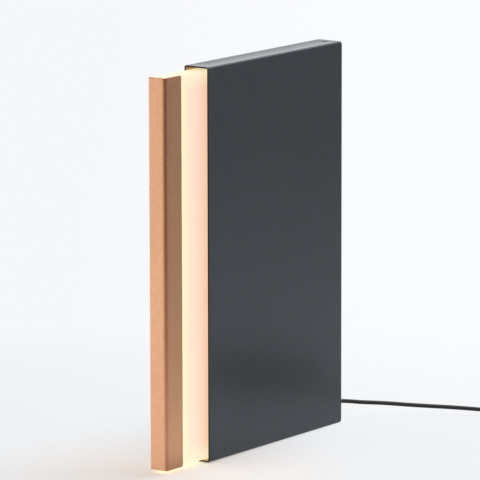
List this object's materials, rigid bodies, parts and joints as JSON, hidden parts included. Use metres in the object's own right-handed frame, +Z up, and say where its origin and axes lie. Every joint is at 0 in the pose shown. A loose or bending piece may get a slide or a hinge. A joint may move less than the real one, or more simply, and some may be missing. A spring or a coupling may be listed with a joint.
{
  "type": "pull-out book lamp",
  "caption": "Slim table lamp shaped like a book in a slipcase: a glowing block with a leather spine slides out of a sheet sleeve on guide rods, and a sprung switch behind it turns it off.",
  "frame": {"origin": "on the table below the middle of the lamp as it stands open, without its cord", "axes": "+Z up, the mouth of the sleeve and the leather spine towards -Y, the cord leaves towards +Y"},
  "size_m": [0.1594, 0.2921, 0.2605],
  "materials": {
    "sleeve_paint": "fine matt anthracite powder coat",
    "tan_leather": "smooth natural vegetable-tanned leather",
    "opal": "satin opal acrylic, lit warm from inside",
    "led": "white strip with warm light-emitting chips",
    "rubber": "matt black rubber",
    "cord_jacket": "satin black PVC jacket",
    "aluminium": "satin anodised",
    "steel": "ground",
    "black_steel": "black oxide",
    "white_plastic": "moulded white",
    "black_plastic": "fine spark-eroded texture",
    "bronze": "sintered bronze",
    "board": "green solder mask"
  },
  "bodies": {
    "sleeve": {"sleeve_shell": "sleeve_paint", "base_pad": "rubber", "chassis": "aluminium", "top_screw": "black_steel", "bottom_screw_rear": "black_steel", "bottom_screw_front": "black_steel", "guide_rod_lower": "steel", "guide_rod_upper": "steel", "rod_clip_lower": "black_steel", "rod_clip_upper": "black_steel", "spacer_lower": "aluminium", "spacer_upper": "aluminium", "stop_ring_lower": "rubber", "stop_ring_upper": "rubber", "circuit_board": "board", "board_screw_lower": "steel", "board_screw_upper": "steel", "capacitor": "black_plastic", "cord_connector": "white_plastic", "lead_socket": "white_plastic", "switch_body": "black_plastic", "inner_cord": "cord_jacket", "cord_clamp": "black_plastic", "led_lead": "white_plastic", "strain_relief": "rubber", "cord_run": "cord_jacket", "cord_coil": "cord_jacket", "cord_tail": "cord_jacket", "cord_tie_near": "rubber", "cord_tie_far": "rubber", "adapter_relief": "rubber", "adapter_body": "black_plastic", "adapter_face": "black_plastic", "adapter_pin_left": "steel", "adapter_pin_right": "steel"},
    "book": {"leather_spine": "tan_leather", "diffuser": "opal", "led_bar": "aluminium", "led_strip": "led", "stay_rod_lower": "steel", "stay_rod_upper": "steel", "strip_lead": "white_plastic", "carriage_plate": "white_plastic", "slide_arm_lower": "black_plastic", "slide_arm_upper": "black_plastic", "bushing_lower": "bronze", "bushing_upper": "bronze", "arm_screw_lower": "steel", "arm_screw_upper": "steel"},
    "plunger": {"switch_plunger": "white_plastic"}
  },
  "joints": [
    {"name": "book_slide", "type": "slide", "parent": "sleeve", "child": "book", "axis": [0, 1, 0], "range_m": [0, 0.0388], "deforming": ["led_lead"]},
    {"name": "switch_press", "type": "slide", "parent": "sleeve", "child": "plunger", "axis": [0, 1, 0], "range_m": [0, 0.0008], "stiffness_N_per_m": 600, "springref_m": -0.0005}
  ]
}
